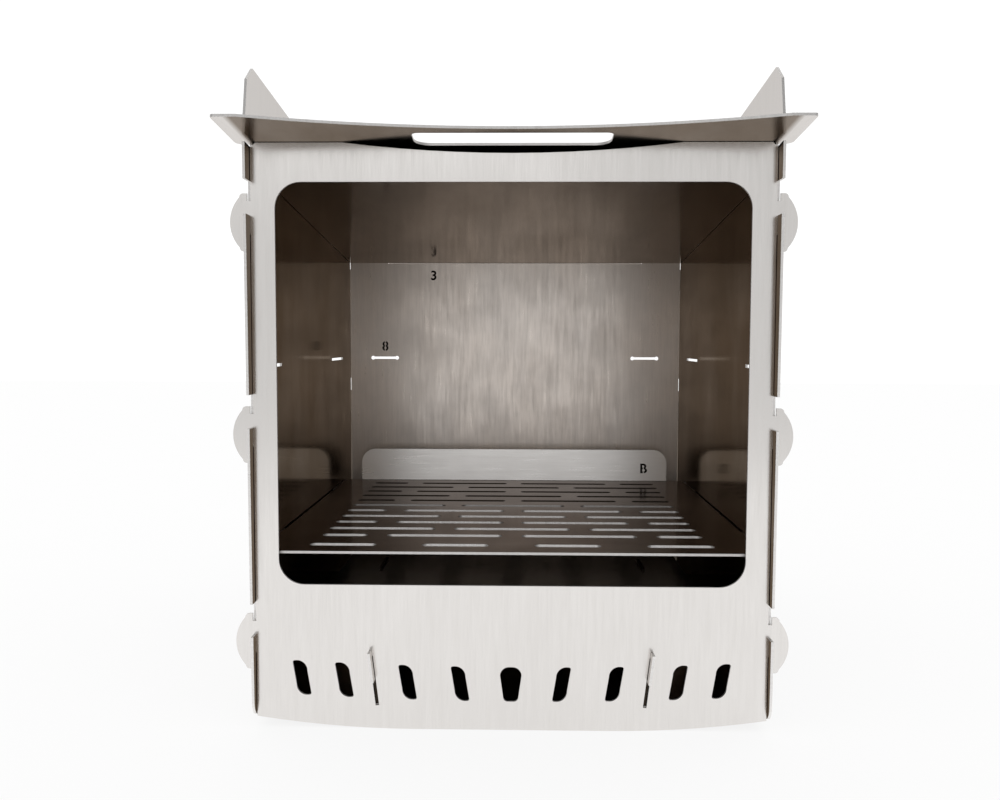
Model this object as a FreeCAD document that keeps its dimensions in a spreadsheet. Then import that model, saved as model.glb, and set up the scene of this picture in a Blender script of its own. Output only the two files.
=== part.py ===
import FreeCAD, Part
import Sketcher
import math
import os
import re

# Flat-pack camping oven: laser-cut steel sheets that hook and slot together without fasteners.
# X runs across, -Y is the front, Z is up; the origin is on the ground below the middle of the oven.

# Driving dimensions in millimetres, angles in degrees
SIZES = {
    # the sheet and how pieces fit
    "sheet": 1.5, "fit": 0.3,
    # room between the panels
    "inside_width": 300.0, "inside_depth": 318.5, "slope": 5.28,
    # front panel
    "front_height": 341.0, "dip_half": 97.0, "dip_depth": 6.0, "top_corner": 3.0,
    "foot_half": 57.0, "foot_rise": 7.0,
    "window_frame": 14.0, "window_low": 86.0, "window_head": 22.0, "window_corner": 15.0,
    "vent_tall": 20.6, "vent_wide": 7.8, "vent_lean": 9.5, "vent_round": 6.2, "vent_tip": 1.2, "vent_mid": 27.4,
    "vent_rise": 3.0, "vent_outer": 123.0, "vent_third": 98.0, "vent_second": 60.7, "vent_inner": 29.8,
    "vent_mid_top": 6.3, "vent_mid_low": 4.5, "vent_mid_crown": 5.2, "vent_mid_round": 2.8,
    # bayonet hooks of the front and back panels
    "hook_low": 52.0, "hook_head": 45.0, "back_hook_low": 61.0, "back_hook_head": 49.0,
    "hook_half": 16.5, "hook_reach": 11.7, "hook_lip": 4.4, "hook_tip": 2.2,
    "neck_up": 12.1, "neck_down": 6.8, "drop": 11.0,
    # back panel, with two short slots at the upper shelf level
    "back_rim": 17.0, "peg_slot_gap": 18.8, "peg_slot_long": 25.4, "peg_relief": 1.7,
    # side panels
    "margin_top": 9.5, "margin_low": 5.0, "margin_rear": 10.0, "side_corner": 10.0,
    "side_rise": 43.7, "brow_rise": 34.7, "brow_back": 7.0, "brow_run": 12.0, "rear_cut": 8.0,
    # roof plate with its visor
    "roof_slot_play": 2.2, "roof_slot_top": 0.8, "roof_slot_end": 6.5,
    "overhang": 44.0, "wing_reach": 8.6, "wing_rear": 5.0, "wing_corner": 5.0, "visor_shoulder": 5.0,
    "visor_sag": 21.0, "tip_corner": 2.0, "roof_tab_half": 70.0,
    "grip_half": 56.0, "grip_front": 16.0, "grip_rear": 7.0, "grip_front_round": 4.0, "grip_rear_round": 9.0,
    # ceiling plate
    "ceiling_drop": 12.4, "ceiling_tab_inset": 35.0,
    # tabs of the plates that sit in the side panels
    "side_gap": 1.2, "tab_reach": 2.0, "rear_tab_reach": 4.5,
    "tab_front_gap": 20.0, "tab_front_long": 48.0, "tab_rear_gap": 40.0, "tab_rear_long": 47.0,
    # baking shelf
    "shelf_level": 105.0, "upper_level": 213.7, "shelf_front": 4.0, "shelf_rear_gap": 29.0,
    "flange_inset": 15.0, "flange_tall": 27.6, "flange_corner": 12.0,
    "crease_inner": 6.5, "crease_inset": 34.0, "crease_wide": 2.0,
    "slot_wide": 7.0, "row_first": 22.3, "row_second": 50.2, "row_tail": 21.8, "row_pairs": 6.0,
    "field_inset": 29.5, "slot_bridge": 12.0, "middle_slot": 77.0, "short_slot": 29.0,
    "lead_slot": 40.5, "lead_pitch": 68.2,
    # ash floor, fire walls and heat deflector
    "floor_level": 13.0,
    "fire_half": 77.9, "fire_lean": 7.0, "fire_tall": 61.8, "fire_tab_low": 15.3, "fire_tab_tall": 13.5,
    "fire_slot_drop": 15.9,
    "fire_tab_out": 7.0, "fire_hook": 4.0, "fire_crown_tall": 3.4, "fire_crown_long": 30.0,
    "fire_crown_front": 70.0, "fire_crown_rear_gap": 60.0,
    "port_long": 44.0, "port_tall": 14.0, "port_mid": 45.0, "port_first": 52.0, "port_count": 4.0,
    "deflector_gap": 37.0, "deflector_front": 14.0, "deflector_rear_gap": 20.0, "deflector_corner": 12.0,
}

doc = FreeCAD.newDocument("CampingOven")
table = doc.addObject("Spreadsheet::Sheet", "Size")
for row, (alias, size) in enumerate(SIZES.items(), start=1):
    table.set(f"A{row}", alias)
    table.set(f"B{row}", str(size))
    table.setAlias(f"B{row}", alias)
doc.recompute()


def bound(text):
    """The same expression with each size pointing into the sheet."""
    return re.sub(r"[a-z][a-z0-9_]*", lambda m: f"Size.{m[0]}" if m[0] in SIZES else m[0], str(text))


def value(text):
    """What an expression comes to now."""
    return float(table.evalExpression(bound(text)))


# Places that several pieces share, measured back from the front panel's outer face
BACK = "(sheet + inside_depth)"
REAR = "(2 * sheet + inside_depth + margin_rear)"
FRONT_PLACE = "(overhang * cos(slope) - 2 * sheet - inside_depth - margin_rear) / 2"
WALL = "(inside_width / 2)"
OUTSIDE = "(inside_width / 2 + sheet)"
ROOF_LEVEL = "(front_height + fit)"
FLOOR_TOP = "(floor_level + sheet)"
FIRE_FOOT = "(floor_level + sheet + fit)"
DEFLECTOR_LEVEL = f"({FIRE_FOOT} + fire_tall * cos(fire_lean) + fit)"
CEILING_LEVEL = "(front_height - ceiling_drop)"
BACK_HEIGHT = f"({ROOF_LEVEL} - tan(slope) * {BACK} + sheet / cos(slope) + back_rim)"
SHELF_BEND = f"({BACK} - shelf_rear_gap)"
FLANGE = f"({WALL} - flange_inset)"
FIELD = f"({WALL} - field_inset)"
CEILING_TAB = f"({WALL} - ceiling_tab_inset)"
# The hooks stand at equal steps between the lowest and the highest one
HOOK_SHARES = (0, 0.5, 1)
FRONT_HOOKS = [f"(hook_low + {share} * (front_height - hook_head - hook_low))" for share in HOOK_SHARES]
BACK_HOOK_TOP = f"({BACK_HEIGHT} - back_hook_head)"
BACK_HOOKS = [f"(back_hook_low + {share} * ({BACK_HOOK_TOP} - back_hook_low))" for share in HOOK_SHARES]
# Where the tabs at the plates' sides start and end
TABS = [
    ("tab_front_gap", "(tab_front_gap + tab_front_long)"),
    (f"({BACK} - tab_rear_gap - tab_rear_long)", f"({BACK} - tab_rear_gap)"),
]
# Where the tabs on top of the fire walls start
CROWNS = ("fire_crown_front", f"({BACK} - fire_crown_rear_gap - fire_crown_long)")


def new_body(label):
    body = doc.addObject("PartDesign::Body", label)
    body.Label = label
    body.setExpression("Placement.Base.y", bound(FRONT_PLACE))
    return body


def plane(body, role):
    return next(item for item in body.Origin.OriginFeatures if item.Role == role)


def arc_between(start, end, radius, turn):
    """The lesser arc from start to end; turn is 1 for a left turn and -1 for a right turn."""
    across = end - start
    height = math.sqrt(max(radius ** 2 - across.Length ** 2 / 4, 0))
    left = FreeCAD.Vector(-across.y, across.x, 0).normalize()
    centre = (start + end) / 2 + left * height * turn
    first, last = (start, end) if turn > 0 else (end, start)
    angles = [math.atan2(point.y - centre.y, point.x - centre.x) for point in (first, last)]
    return Part.ArcOfCircle(Part.Circle(centre, FreeCAD.Vector(0, 0, 1), radius), *angles)


def draw(sketch, outline):
    """Adds one closed outline. Each step is (x, y), or (x, y, radius, turn) for an arc that ends there."""
    count = sketch.GeometryCount
    points = [FreeCAD.Vector(value(step[0]), value(step[1]), 0) for step in outline]
    pieces, ends = [], []
    for index, step in enumerate(outline):
        start, end = points[index - 1], points[index]
        if len(step) == 2:
            pieces.append(Part.LineSegment(start, end))
            ends.append((1, 2))
        else:
            pieces.append(arc_between(start, end, value(step[2]), step[3]))
            ends.append((1, 2) if step[3] > 0 else (2, 1))
    sketch.addGeometry(pieces, False)
    rules, formulas = [], []
    for index, step in enumerate(outline):
        following = (index + 1) % len(outline)
        place = (count + index, ends[index][1])
        rules.append(Sketcher.Constraint("Coincident", *place, count + following, ends[following][0]))
        spot = points[index]
        for kind, text, number in (("DistanceX", step[0], spot.x), ("DistanceY", step[1], spot.y)):
            formulas.append((len(rules), text))
            rules.append(Sketcher.Constraint(kind, -1, 1, *place, number))
        if len(step) > 2:
            formulas.append((len(rules), step[2]))
            rules.append(Sketcher.Constraint("Radius", count + index, value(step[2])))
    base = sketch.ConstraintCount
    sketch.addConstraint(rules)
    for offset, text in formulas:
        sketch.setExpression(f"Constraints[{base + offset}]", bound(text))


def new_sketch(body, role, outlines, name):
    sketch = body.newObject("Sketcher::SketchObject", name)
    sketch.AttachmentSupport = [(plane(body, role), "")]
    sketch.MapMode = "FlatFace"
    for outline in outlines:
        draw(sketch, outline)
    return sketch


def pad(body, role, outline, name, length="sheet", backwards=False):
    feature = body.newObject("PartDesign::Pad", name)
    feature.Profile = new_sketch(body, role, [outline], name + "Sketch")
    feature.setExpression("Length", bound(length))
    feature.Reversed = backwards
    doc.recompute()
    return feature


def pocket(body, role, outlines, name):
    """Cuts outlines right through the sheet."""
    before = body.Shape.Volume
    feature = body.newObject("PartDesign::Pocket", name)
    feature.Profile = new_sketch(body, role, outlines, name + "Sketch")
    feature.Type = "ThroughAll"
    feature.Midplane = True
    doc.recompute()
    if not body.Shape.Volume < before:
        raise RuntimeError(f"{body.Label}: {name} cuts nothing")
    return feature


def repeat(body, feature, axis, length, count, name):
    """A row of copies of a cut along one of the body's axes."""
    before = body.Shape.Volume
    row = body.newObject("PartDesign::LinearPattern", name)
    row.Originals = [feature]
    row.Direction = (plane(body, axis), [""])
    row.setExpression("Length", bound(length))
    row.setExpression("Occurrences", bound(count))
    body.Tip = row
    doc.recompute()
    if not body.Shape.Volume < before:
        raise RuntimeError(f"{body.Label}: {name} repeats nothing")


def box_outline(left, right, low, high):
    return [(left, low), (right, low), (right, high), (left, high)]


def round_outline(left, right, low, high, radius):
    """A rectangle with four rounded corners."""
    return [
        (f"{right} - {radius}", low), (right, f"{low} + {radius}", radius, 1),
        (right, f"{high} - {radius}"), (f"{right} - {radius}", high, radius, 1),
        (f"{left} + {radius}", high), (left, f"{high} - {radius}", radius, 1),
        (left, f"{low} + {radius}"), (f"{left} + {radius}", low, radius, 1),
    ]


def long_slot(left, right, middle, wide):
    """A slot with half-round ends, each end drawn as two quarter arcs."""
    radius = f"({wide} / 2)"
    low, high = f"{middle} - {radius}", f"{middle} + {radius}"
    return [
        (f"{right} - {radius}", low), (right, middle, radius, 1), (f"{right} - {radius}", high, radius, 1),
        (f"{left} + {radius}", high), (left, middle, radius, 1), (f"{left} + {radius}", low, radius, 1),
    ]


def mirrored(outline):
    """The outline on the other side of the middle plane, walked the same way round."""
    flipped = []
    for index in range(len(outline) - 1, -1, -1):
        step = outline[index]
        arrive = outline[(index + 1) % len(outline)]
        flipped.append((f"-({step[0]})", step[1], *arrive[2:]))
    return flipped


def tilted(across, along, lean):
    """A point of a leaning sheet: along its slope and across its thickness."""
    return (f"({along} * cos({lean}) + {across} * sin({lean}))",
            f"({across} * cos({lean}) - {along} * sin({lean}))")


# Hooked panels at the front and back

def hooked_edge(hooks):
    """The right edge of a panel from its lowest hook up: necks through the side panel, D-shaped heads."""
    edge, inner, lip = f"{WALL} - fit", f"{OUTSIDE} + fit", f"{OUTSIDE} + fit + hook_lip"
    bulge = "(hook_reach - sheet - fit - hook_lip)"
    arc = f"((hook_half - hook_tip)^2 + {bulge}^2) / (2 * {bulge})"
    steps = []
    for hook in hooks:
        steps += [
            (edge, f"{hook} - neck_down"), (inner, f"{hook} - neck_down"),
            (inner, f"{hook} - hook_half"), (f"{lip} - hook_tip", f"{hook} - hook_half"),
            (lip, f"{hook} - hook_half + hook_tip", "hook_tip", 1),
            (lip, f"{hook} + hook_half - hook_tip", arc, 1),
            (f"{lip} - hook_tip", f"{hook} + hook_half", "hook_tip", 1),
            (inner, f"{hook} + hook_half"), (inner, f"{hook} + neck_up"), (edge, f"{hook} + neck_up"),
        ]
    return steps


def panel_outline(hooks, top):
    """A panel standing on its rounded foot; top lists the steps from the right corner to the left one."""
    edge = f"({WALL} - fit)"
    rise = f"(({edge} - foot_half)^2 + foot_rise^2) / (2 * foot_rise)"
    right = hooked_edge(hooks)
    left = mirrored(right)
    foot = [("-foot_half", "0", rise, 1), ("foot_half", "0"), (edge, "foot_rise", rise, 1)]
    return [*foot, *right, *top, *left, (f"-{edge}", "foot_rise")]


def fire_slots():
    """The two leaning slots that take the fire walls' hooks and leave room for the panel to drop."""
    low, high = "(fire_tab_low - fire_slot_drop)", "(fire_tab_low + fire_tab_tall + fit)"
    corners = []
    for across, along in (("-fit", low), ("(sheet + fit)", low), ("(sheet + fit)", high), ("-fit", high)):
        x = f"fire_half + {along} * sin(fire_lean) + {across} * cos(fire_lean)"
        z = f"{FIRE_FOOT} + {along} * cos(fire_lean) - {across} * sin(fire_lean)"
        corners.append((x, z))
    return [corners, mirrored(corners)]


def vent(middle):
    """One leaning air vent on the right half, with two opposite corners well rounded."""
    lean = "(vent_tall / 2 * tan(vent_lean))"
    height = f"(vent_mid + vent_rise * ({middle} / vent_outer)^2)"
    low, high = f"{height} - vent_tall / 2", f"{height} + vent_tall / 2"
    half = "vent_wide / 2"
    cut, tip = "vent_round * tan(vent_lean)", "vent_tip * tan(vent_lean)"
    return [
        (f"{middle} - {lean} - {half} + vent_tip", low, "vent_tip", 1),
        (f"{middle} - {lean} + {half} - vent_round", low),
        (f"{middle} - {lean} + {half} + {cut}", f"{low} + vent_round", "vent_round", 1),
        (f"{middle} + {lean} + {half} - {tip}", f"{high} - vent_tip"),
        (f"{middle} + {lean} + {half} - vent_tip", high, "vent_tip", 1),
        (f"{middle} + {lean} - {half} + vent_round", high),
        (f"{middle} + {lean} - {half} - {cut}", f"{high} - vent_round", "vent_round", 1),
        (f"{middle} - {lean} - {half} + {tip}", f"{low} + vent_tip"),
    ]


def middle_vent():
    low, high = "(vent_mid - vent_tall / 2)", "(vent_mid + vent_tall / 2)"
    return [
        ("vent_mid_low - vent_mid_round", low),
        ("vent_mid_low", f"{low} + vent_mid_round", "vent_mid_round", 1),
        ("vent_mid_top", f"{high} - vent_mid_crown"),
        ("vent_mid_top - vent_mid_crown", high, "vent_mid_crown", 1),
        ("vent_mid_crown - vent_mid_top", high),
        ("-vent_mid_top", f"{high} - vent_mid_crown", "vent_mid_crown", 1),
        ("-vent_mid_low", f"{low} + vent_mid_round"),
        ("vent_mid_round - vent_mid_low", low, "vent_mid_round", 1),
    ]


def make_front_panel():
    body = new_body("front_panel")
    edge = f"({WALL} - fit)"
    dip = "(dip_half^2 + dip_depth^2) / (2 * dip_depth)"
    top = [
        (edge, "front_height - top_corner"), (f"{edge} - top_corner", "front_height"),
        ("dip_half", "front_height"), ("-dip_half", "front_height", dip, -1),
        (f"top_corner - {edge}", "front_height"), (f"-{edge}", "front_height - top_corner"),
    ]
    pad(body, "XZ_Plane", panel_outline(FRONT_HOOKS, top), "FrontSheet", backwards=True)
    half = f"({WALL} - window_frame)"
    window = round_outline(f"-{half}", half, "window_low", "(front_height - window_head)", "window_corner")
    pocket(body, "XZ_Plane", [window], "Window")
    vents = [vent(name) for name in ("vent_outer", "vent_third", "vent_second", "vent_inner")]
    pocket(body, "XZ_Plane", vents + [mirrored(each) for each in vents] + [middle_vent()], "Vents")
    pocket(body, "XZ_Plane", fire_slots(), "FireSlots")
    return body


def sloped_slot(level, half):
    """A slot in the back panel for the rear tab of a sloping plate."""
    low = f"{level} - tan(slope) * ({BACK} + sheet) - fit"
    high = f"{level} - tan(slope) * {BACK} + sheet / cos(slope) + fit"
    return box_outline(f"-{half} - fit", f"{half} + fit", low, high)


def peg_slot():
    """A short level slot on the right half, with a round relief at each end."""
    left, right = f"({WALL} - peg_slot_gap - peg_slot_long)", f"({WALL} - peg_slot_gap)"
    middle, half = "(upper_level - sheet / 2)", "(sheet / 2 + fit)"
    inset = f"(peg_relief + sqrt(peg_relief^2 - {half}^2))"
    near, far = f"{left} + {inset}", f"{right} - {inset}"
    return [
        (near, f"{middle} - {half}", "peg_relief", 1), (far, f"{middle} - {half}"),
        (right, middle, "peg_relief", 1), (far, f"{middle} + {half}", "peg_relief", 1),
        (near, f"{middle} + {half}"), (left, middle, "peg_relief", 1),
    ]


def make_back_panel():
    body = new_body("back_panel")
    body.setExpression("Placement.Base.y", bound(f"{FRONT_PLACE} + {BACK}"))
    edge = f"({WALL} - fit)"
    top = [
        (edge, f"{BACK_HEIGHT} - top_corner"), (f"{edge} - top_corner", BACK_HEIGHT),
        (f"top_corner - {edge}", BACK_HEIGHT), (f"-{edge}", f"{BACK_HEIGHT} - top_corner"),
    ]
    pad(body, "XZ_Plane", panel_outline(BACK_HOOKS, top), "BackSheet", backwards=True)
    peg = peg_slot()
    slots = [sloped_slot(CEILING_LEVEL, CEILING_TAB), sloped_slot(ROOF_LEVEL, "roof_tab_half")]
    pocket(body, "XZ_Plane", slots + [peg, mirrored(peg)], "PlateSlots")
    pocket(body, "XZ_Plane", fire_slots(), "FireSlots")
    return body


# Side panels

def front_edge(height):
    """How far the slightly leaning front edge of a side panel stands ahead of the front panel."""
    return f"-(margin_low + (margin_top - margin_low) * ({height}) / front_height)"


def side_outline():
    """Walked anticlockwise seen from the right: bottom, rear edge, top, then down the front."""
    steps = [("side_corner - margin_low", "foot_rise"), (f"{REAR} - side_corner", "foot_rise"),
             (REAR, "foot_rise + side_corner", "side_corner", 1)]
    for hook in BACK_HOOKS:
        foot, mouth = f"{hook} - neck_down - fit", f"{hook} - neck_down + drop - fit"
        roof = f"{hook} + neck_up + drop + fit"
        steps += [(REAR, mouth), (f"{BACK} + sheet + fit", mouth), (f"{BACK} + sheet + fit", foot),
                  (f"{BACK} - fit", foot), (f"{BACK} - fit", roof), (REAR, roof)]
    top = f"{ROOF_LEVEL} + side_rise"
    rear_high = f"{top} - tan(slope) * ({REAR} - rear_cut)"
    steps += [(REAR, f"{rear_high} - rear_cut"), (f"{REAR} - rear_cut", rear_high)]
    brow = "-margin_top + brow_back"
    steps += [(f"{brow} + brow_run", top), (brow, f"{ROOF_LEVEL} + brow_rise")]
    low, high = f"{ROOF_LEVEL} - roof_slot_play", f"{ROOF_LEVEL} + sheet / cos(slope) + roof_slot_top"
    end = "roof_slot_end"
    steps += [("-margin_top", f"{high} + tan(slope) * margin_top"), (end, f"{high} - tan(slope) * {end}"),
              (end, f"{low} - tan(slope) * {end}"), ("-margin_top", f"{low} + tan(slope) * margin_top")]
    for hook in reversed(FRONT_HOOKS):
        foot, mouth = f"{hook} - neck_down - fit", f"{hook} - neck_down + drop - fit"
        roof = f"{hook} + neck_up + drop + fit"
        steps += [(front_edge(roof), roof), ("sheet + fit", roof), ("sheet + fit", foot),
                  ("-fit", foot), ("-fit", mouth), (front_edge(mouth), mouth)]
    steps[0] = (*steps[0], "side_corner", 1)
    return steps + [("-margin_low", "foot_rise + side_corner")]


def level_slots(top):
    """The front and rear slots for the tabs of a level plate whose upper face is at top."""
    low, high = f"{top} - sheet - fit", f"{top} + fit"
    return [box_outline(f"{start} - fit", f"{end} + fit", low, high) for start, end in TABS]


def ceiling_slots():
    """The same slots along the slope of the ceiling plate."""
    slots = []
    for tab_start, tab_end in TABS:
        start, stop = f"({tab_start} - fit)", f"({tab_end} + fit)"
        corners = []
        high = "(sheet + fit)"
        for across, along in (("-fit", start), ("-fit", stop), (high, stop), (high, start)):
            back, up = tilted(across, along, "slope")
            corners.append((back, f"{CEILING_LEVEL} + {up}"))
        slots.append(corners)
    return slots


def make_side_panel(side, label):
    body = new_body(label)
    body.setExpression("Placement.Base.x", bound(f"{side} * {WALL}"))
    pad(body, "YZ_Plane", side_outline(), "SideSheet", backwards=side < 0)
    slots = level_slots("shelf_level") + level_slots("upper_level") + level_slots(FLOOR_TOP) + ceiling_slots()
    pocket(body, "YZ_Plane", slots, "PlateSlots")
    return body


# Plates held between the panels

def tabbed_edge(gap):
    """The right edge of a plate from front to rear, with two tabs that pass through the side panel."""
    edge, reach = f"{WALL} - {gap}", f"{OUTSIDE} + tab_reach"
    steps = []
    for start, end in TABS:
        steps += [(edge, start), (reach, start), (reach, end), (edge, end)]
    return steps


def plate_outline(front, rear, gap, rear_steps=()):
    edge = f"{WALL} - {gap}"
    right = tabbed_edge(gap)
    return [(f"-({edge})", front), (edge, front), *right, (edge, rear), *rear_steps, (f"-({edge})", rear),
            *mirrored(right)]


def rear_tab(half, rear):
    """Steps of a wide tab in the middle of a plate's rear edge."""
    tip = f"{rear} + fit * 2 + sheet + rear_tab_reach"
    return [(half, rear), (half, tip), (f"-{half}", tip), (f"-{half}", rear)]


def slope_down(body, level):
    """Seats a plate with its lower face at a level in the front panel's plane, falling to the back."""
    turn = FreeCAD.Rotation(FreeCAD.Vector(-1, 0, 0), value("slope"))
    body.Placement = FreeCAD.Placement(FreeCAD.Vector(), turn)
    body.setExpression("Placement.Base.y", bound(FRONT_PLACE))
    body.setExpression("Placement.Base.z", bound(level))
    body.setExpression("Placement.Rotation.Angle", bound("slope"))


def make_ceiling_plate():
    body = new_body("ceiling_plate")
    front, rear = "(sheet + 2 * fit) / cos(slope)", f"({BACK} - 2 * fit) / cos(slope)"
    outline = plate_outline(front, rear, "fit", rear_tab(CEILING_TAB, rear))
    pad(body, "XY_Plane", outline, "CeilingSheet")
    slope_down(body, CEILING_LEVEL)
    return body


def make_roof_plate():
    body = new_body("roof_plate")
    edge, wing = f"({WALL} - fit)", f"({WALL} + wing_reach)"
    rear = f"({BACK} - 2 * fit) / cos(slope)"
    visor = f"({WALL} - visor_shoulder)"
    sag = f"({visor}^2 + visor_sag^2) / (2 * visor_sag)"
    outline = [
        (visor, "-overhang"), (f"{wing} - tip_corner", "-overhang"),
        (wing, "tip_corner - overhang", "tip_corner", 1),
        (wing, "wing_rear - wing_corner"), (f"{wing} - wing_corner", "wing_rear", "wing_corner", 1),
        (edge, "wing_rear"), (edge, rear), *rear_tab("roof_tab_half", rear), (f"-{edge}", rear),
        (f"-{edge}", "wing_rear"), (f"wing_corner - {wing}", "wing_rear"),
        (f"-{wing}", "wing_rear - wing_corner", "wing_corner", 1),
        (f"-{wing}", "tip_corner - overhang"), (f"tip_corner - {wing}", "-overhang", "tip_corner", 1),
        (f"-{visor}", "-overhang"),
    ]
    outline[0] = (*outline[0], sag, -1)
    pad(body, "XY_Plane", outline, "RoofSheet")
    front, near, far = "-grip_front", "grip_front_round", "grip_rear_round"
    grip = [
        (f"grip_half - {near}", front), ("grip_half", f"{front} + {near}", near, 1),
        ("grip_half", f"grip_rear - {far}"), (f"grip_half - {far}", "grip_rear", far, 1),
        (f"{far} - grip_half", "grip_rear"), ("-grip_half", f"grip_rear - {far}", far, 1),
        ("-grip_half", f"{front} + {near}"), (f"{near} - grip_half", front, near, 1),
    ]
    pocket(body, "XY_Plane", [grip], "HandGrip")
    slope_down(body, ROOF_LEVEL)
    return body


def make_baking_shelf():
    body = new_body("baking_shelf")
    pad(body, "XY_Plane", plate_outline("shelf_front", SHELF_BEND, "side_gap"), "ShelfSheet")
    flange = body.newObject("PartDesign::Pad", "Flange")
    high = "sheet + flange_tall"
    shape = [
        (f"-{FLANGE}", "0"), (FLANGE, "0"), (FLANGE, f"{high} - flange_corner"),
        (f"{FLANGE} - flange_corner", high, "flange_corner", 1), (f"flange_corner - {FLANGE}", high),
        (f"-{FLANGE}", f"{high} - flange_corner", "flange_corner", 1),
    ]
    flange.Profile = new_sketch(body, "XZ_Plane", [shape], "FlangeSketch")
    flange.Profile[0].setExpression("AttachmentOffset.Base.z", bound(f"-{SHELF_BEND}"))
    flange.setExpression("Length", bound("sheet"))
    doc.recompute()
    crease = box_outline("crease_inner", f"{FLANGE} - crease_inset",
                         f"{SHELF_BEND} - sheet - crease_wide", f"{SHELF_BEND} - sheet")
    pocket(body, "XY_Plane", [crease, mirrored(crease)], "Crease")
    lead = [long_slot(f"({place} * lead_pitch - lead_slot / 2)", f"({place} * lead_pitch + lead_slot / 2)",
                      "row_first", "slot_wide") for place in ("-1.5", "-0.5", "0.5", "1.5")]
    pocket(body, "XY_Plane", lead, "LeadRow")
    reach = f"({SHELF_BEND} - row_tail - row_second)"
    inner = long_slot("(slot_bridge / 2)", f"({FIELD} - short_slot - slot_bridge)", "row_second", "slot_wide")
    outer = long_slot(f"({FIELD} - short_slot)", FIELD, "row_second", "slot_wide")
    even = pocket(body, "XY_Plane", [inner, outer, mirrored(inner), mirrored(outer)], "EvenRow")
    repeat(body, even, "Y_Axis", reach, "row_pairs", "EvenRows")
    third = f"(row_second + {reach} / (row_pairs - 1) / 2)"
    middle = long_slot("(-middle_slot / 2)", "(middle_slot / 2)", third, "slot_wide")
    side = long_slot("(middle_slot / 2 + slot_bridge)", FIELD, third, "slot_wide")
    odd = pocket(body, "XY_Plane", [middle, side, mirrored(side)], "OddRow")
    repeat(body, odd, "Y_Axis", f"{reach} / (row_pairs - 1) * (row_pairs - 2)", "row_pairs - 1", "OddRows")
    body.setExpression("Placement.Base.z", bound("shelf_level - sheet"))
    return body


def make_ash_floor():
    body = new_body("ash_floor")
    pad(body, "XY_Plane", plate_outline("sheet + fit", f"{BACK} - fit", "fit"), "FloorSheet")
    body.setExpression("Placement.Base.z", bound("floor_level"))
    return body


# Fire walls and the deflector that they carry

def fire_hook(face, ahead):
    """The hook at one end of a fire wall, foot up: face is the wall's end, ahead the way it points."""
    low, high = "fire_tab_low", "fire_tab_low + fire_tab_tall"
    tip, catch = f"{face} + {ahead} * (sheet + fit + fire_tab_out)", f"{face} + {ahead} * (sheet + 3 * fit)"
    return [(face, low), (tip, low), (tip, f"{high} + fire_hook"), (catch, f"{high} + fire_hook"),
            (catch, high), (face, high)]


def make_fire_wall(side, label):
    body = new_body(label)
    front, rear = "(sheet + fit)", f"({BACK} - fit)"
    crown = []
    for start in reversed(CROWNS):
        crown += [(f"{start} + fire_crown_long", "fire_tall"),
                  (f"{start} + fire_crown_long", "fire_tall + fire_crown_tall"),
                  (start, "fire_tall + fire_crown_tall"), (start, "fire_tall")]
    outline = [(front, "0"), (rear, "0"), *fire_hook(rear, "1"), (rear, "fire_tall"), *crown,
               (front, "fire_tall"), *reversed(fire_hook(front, "-1"))]
    pad(body, "YZ_Plane", outline, "WallSheet", backwards=side < 0)
    port = long_slot("port_first - port_long / 2", "port_first + port_long / 2", "port_mid", "port_tall")
    row = pocket(body, "YZ_Plane", [port], "Port")
    repeat(body, row, "Y_Axis", f"{BACK} - 2 * port_first", "port_count", "Ports")
    lean = FreeCAD.Rotation(FreeCAD.Vector(0, side, 0), value("fire_lean"))
    body.Placement = FreeCAD.Placement(FreeCAD.Vector(), lean)
    body.setExpression("Placement.Base.x", bound(f"{side} * fire_half"))
    body.setExpression("Placement.Base.y", bound(FRONT_PLACE))
    body.setExpression("Placement.Base.z", bound(FIRE_FOOT))
    body.setExpression("Placement.Rotation.Angle", bound("fire_lean"))
    return body


def make_heat_deflector():
    body = new_body("heat_deflector")
    half, rear = f"({WALL} - deflector_gap)", f"({BACK} - deflector_rear_gap)"
    outline = round_outline(f"-{half}", half, "deflector_front", rear, "deflector_corner")
    pad(body, "XY_Plane", outline, "DeflectorSheet")
    low = f"fire_half + ({DEFLECTOR_LEVEL} - {FIRE_FOOT}) * tan(fire_lean) - fit"
    rise = f"({DEFLECTOR_LEVEL} + sheet - {FIRE_FOOT})"
    high = f"fire_half + {rise} * tan(fire_lean) + sheet / cos(fire_lean) + fit"
    slots = [box_outline(low, high, f"{start} - fit", f"{start} + fire_crown_long + fit")
             for start in CROWNS]
    pocket(body, "XY_Plane", slots + [mirrored(slot) for slot in slots], "CrownSlots")
    body.setExpression("Placement.Base.z", bound(DEFLECTOR_LEVEL))
    return body


def main():
    bodies = [
        make_front_panel(), make_back_panel(),
        make_side_panel(-1, "left_side_panel"), make_side_panel(1, "right_side_panel"),
        make_roof_plate(), make_ceiling_plate(), make_baking_shelf(), make_heat_deflector(),
        make_fire_wall(-1, "left_fire_wall"), make_fire_wall(1, "right_fire_wall"), make_ash_floor(),
    ]
    doc.recompute()
    for item in doc.Objects:
        if {"Invalid", "Error"} & set(item.State):
            raise RuntimeError(f"{item.Label} did not build: {item.State}")
    for body in bodies:
        if body.Shape.isNull() or not body.Shape.isValid() or len(body.Shape.Solids) != 1:
            raise RuntimeError(f"{body.Label} is not one sound solid")
    os.makedirs("parts", exist_ok=True)
    for body in bodies:
        body.Shape.exportStep(f"parts/{body.Label}.step")
        box = body.Shape.BoundBox
        print(f"{body.Label:18s} {box.XLength:7.2f} {box.YLength:7.2f} {box.ZLength:7.2f}  "
              f"y {box.YMin:8.2f} {box.YMax:8.2f}  z {box.ZMin:7.2f} {box.ZMax:7.2f}")


main()
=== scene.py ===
import math

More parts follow.
